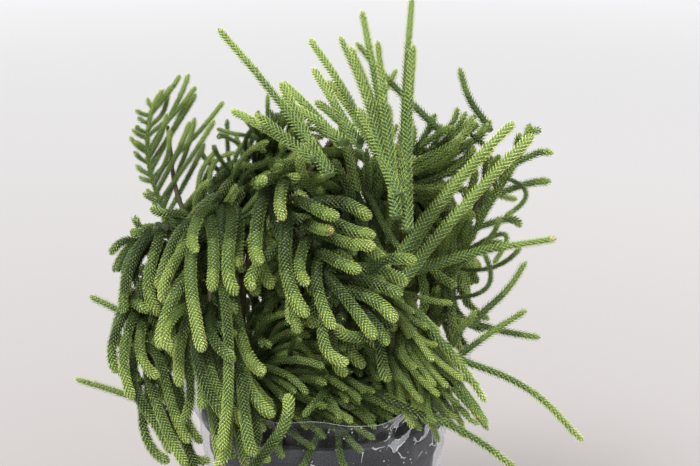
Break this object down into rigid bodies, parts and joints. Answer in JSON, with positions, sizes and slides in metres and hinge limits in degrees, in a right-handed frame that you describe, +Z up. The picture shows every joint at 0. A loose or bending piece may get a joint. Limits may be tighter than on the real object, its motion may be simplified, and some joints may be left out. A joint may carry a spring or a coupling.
{
  "type": "bunch of cut monkey puzzle branches in a florist's bucket",
  "caption": "Bunch of cut monkey puzzle branches, with rope-like shoots of small overlapping leaves, in a dark plastic bucket with a clear film sleeve.",
  "frame": {"origin": "centre of the bucket's flat underside", "axes": "+Z up along the bucket's axis, -Y towards the front of the bunch, +X to its right seen from the front"},
  "size_m": [0.5166, 0.3827, 0.7105],
  "materials": {
    "bucket_plastic": "satin",
    "clear_film": "gloss",
    "cut_stem": "rough",
    "dark_foliage": "satin",
    "fresh_foliage": "satin",
    "long_shoot": "satin"
  },
  "bodies": {
    "root": {"bucket": "bucket_plastic", "film_sleeve": "clear_film", "stem_1": "cut_stem", "stem_2": "cut_stem", "stem_3": "cut_stem", "stem_4": "cut_stem", "stem_5": "cut_stem", "stem_6": "cut_stem", "stem_7": "cut_stem", "fall_back": "fresh_foliage", "fall_back_left": "fresh_foliage", "fall_back_right": "fresh_foliage", "fall_front": "fresh_foliage", "fall_front_left": "fresh_foliage", "fall_front_right": "fresh_foliage", "fall_left": "fresh_foliage", "fall_left_rear": "fresh_foliage", "fall_right": "fresh_foliage", "frond_left_rear": "dark_foliage", "frond_right": "dark_foliage", "heart": "dark_foliage", "ridge_left": "dark_foliage", "ridge_right": "dark_foliage", "skirt_back": "dark_foliage", "skirt_front": "dark_foliage", "tuft_left": "dark_foliage", "spray_1": "long_shoot", "spray_10": "long_shoot", "spray_2": "long_shoot", "spray_3": "long_shoot", "spray_4": "long_shoot", "spray_5": "long_shoot", "spray_6": "long_shoot", "spray_7": "long_shoot", "spray_8": "long_shoot", "spray_9": "long_shoot", "whip_back": "long_shoot", "whip_back_left": "long_shoot", "whip_back_low": "long_shoot", "whip_back_right": "long_shoot", "whip_crossing": "long_shoot", "whip_left_arm": "long_shoot", "whip_left_rear": "long_shoot", "whip_low_front": "long_shoot", "whip_low_inner": "long_shoot", "whip_low_middle": "long_shoot", "whip_low_right": "long_shoot", "whip_right_arm": "long_shoot", "whip_right_curl": "long_shoot", "whip_right_rear": "long_shoot", "whip_right_short": "long_shoot", "whip_right_up": "long_shoot", "whip_upper_right": "long_shoot"}
  },
  "joints": []
}
